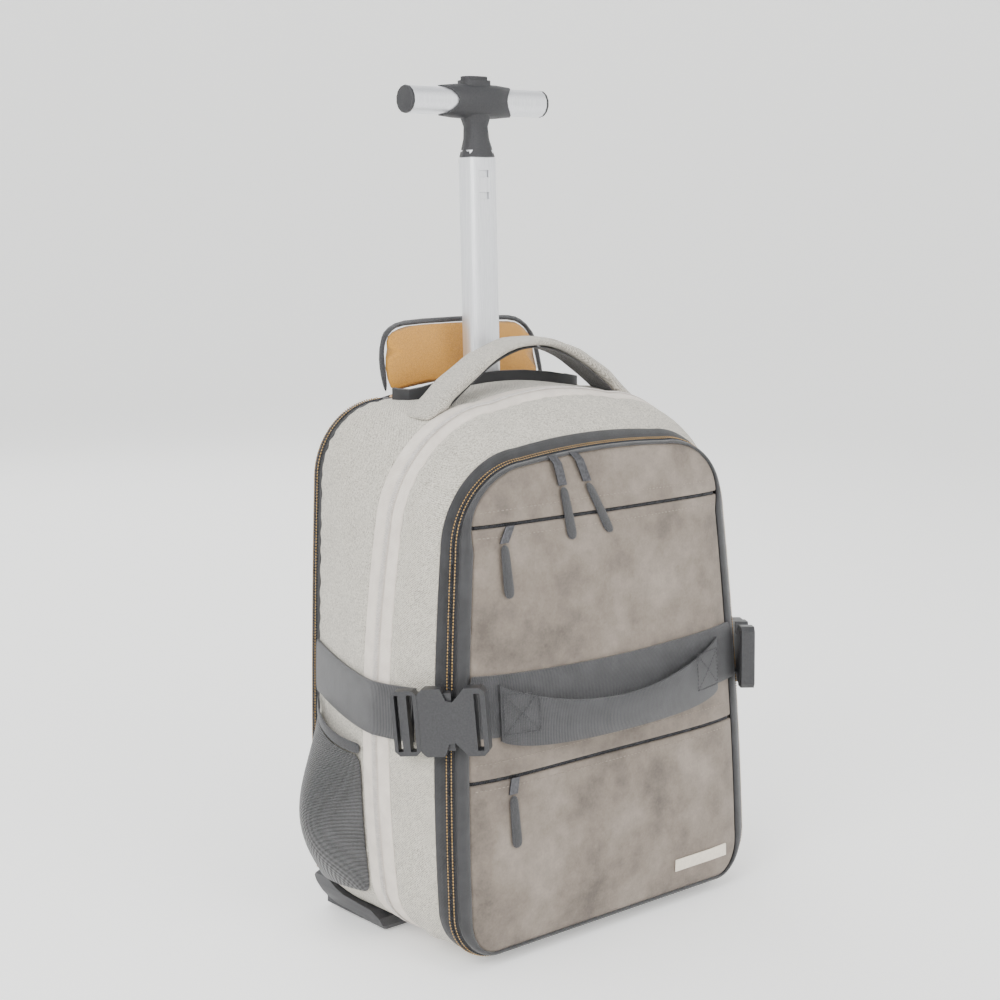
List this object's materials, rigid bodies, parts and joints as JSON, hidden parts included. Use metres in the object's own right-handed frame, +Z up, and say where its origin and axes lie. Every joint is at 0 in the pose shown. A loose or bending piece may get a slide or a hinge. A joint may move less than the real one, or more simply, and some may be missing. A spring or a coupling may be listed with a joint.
{
  "type": "wheeled backpack",
  "caption": "Wheeled cabin backpack with a sand twill body, grey-brown leather front, black compression strap with buckles, mesh side pockets and a telescopic T-handle.",
  "frame": {"origin": "on the floor, in the middle of the bag's width and of its overall depth", "axes": "+X to the right seen from the front, -Y out of the leather front, +Z up"},
  "size_m": [0.4394, 0.245, 0.7229],
  "materials": {
    "twill": "sand and off-white heathered twill",
    "beige_tape": "pale zip tape",
    "black_tape": "black twill tape with a coil zip",
    "leather": "mottled nubuck leather look",
    "air_mesh": "black padded spacer mesh",
    "black_plastic": "moulded, fine spark texture",
    "soft_plastic": "rubberised",
    "tyre": "solid rubber",
    "aluminium": "satin anodised",
    "lining": "mustard nylon",
    "webbing": "black nylon webbing",
    "net": "open black net",
    "gunmetal": "dark gunmetal plating",
    "badge_metal": "pale enamel, blank"
  },
  "bodies": {
    "bag": {"rear_shell": "twill", "front_shell": "twill", "middle_zip": "beige_tape", "front_zip": "black_tape", "rear_zip": "black_tape", "front_yoke": "leather", "front_middle_panel": "leather", "front_lower_panel": "leather", "upper_pocket_zip": "black_tape", "lower_pocket_zip": "black_tape", "back_panel": "air_mesh", "wheel_housing_left": "black_plastic", "wheel_housing_right": "black_plastic", "base_plate": "black_plastic", "front_foot": "black_plastic", "handle_sleeve": "aluminium", "garage_pocket": "lining", "garage_lip": "black_tape", "handle_flap": "lining", "flap_zip": "black_tape", "grab_handle": "twill", "grab_webbing": "webbing", "mesh_pocket_left": "net", "mesh_pocket_right": "net", "pocket_binding_left": "webbing", "pocket_binding_right": "webbing", "buckle_body_left": "black_plastic", "buckle_body_right": "black_plastic", "buckle_latch_left": "black_plastic", "buckle_latch_right": "black_plastic", "strap_left": "webbing", "strap_right": "webbing", "strap_front": "webbing", "hand_loop": "webbing", "front_zip_pull_1": "gunmetal", "front_zip_pull_1_loop": "webbing", "front_zip_pull_2": "gunmetal", "front_zip_pull_2_loop": "webbing", "upper_zip_pull": "gunmetal", "upper_zip_pull_loop": "webbing", "lower_zip_pull": "gunmetal", "lower_zip_pull_loop": "webbing", "badge_plate": "badge_metal", "shoulder_strap_left": "air_mesh", "shoulder_strap_right": "air_mesh", "strap_webbing_left": "webbing", "strap_webbing_right": "webbing", "strap_adjuster_left": "black_plastic", "strap_adjuster_right": "black_plastic"},
    "mast": {"mast_tube": "aluminium"},
    "grip": {"inner_tube": "aluminium", "handle_hub": "soft_plastic", "grip_bar": "aluminium", "end_cap_left": "soft_plastic", "end_cap_right": "soft_plastic"},
    "button": {"release_button": "soft_plastic"},
    "wheel_left": {"tyre_left": "tyre", "wheel_hub_left": "black_plastic"},
    "wheel_right": {"tyre_right": "tyre", "wheel_hub_right": "black_plastic"}
  },
  "joints": [
    {"name": "mast_slide", "type": "slide", "parent": "bag", "child": "mast", "axis": [0, 0.0314, 0.9995], "range_m": [-0.264, 0]},
    {"name": "grip_slide", "type": "slide", "parent": "mast", "child": "grip", "axis": [0, 0.0314, 0.9995], "range_m": [0, 0.25]},
    {"name": "button_press", "type": "slide", "parent": "grip", "child": "button", "axis": [0, -0.0314, -0.9995], "range_m": [0, 0.003], "stiffness_N_per_m": 300, "springref_m": -0.001},
    {"name": "left_wheel", "type": "hinge", "parent": "bag", "child": "wheel_left", "pos_m": [-0.145, 0.07473, 0.025], "axis": [1, 0, 0], "continuous": true},
    {"name": "right_wheel", "type": "hinge", "parent": "bag", "child": "wheel_right", "pos_m": [0.145, 0.07473, 0.025], "axis": [1, 0, 0], "continuous": true}
  ]
}
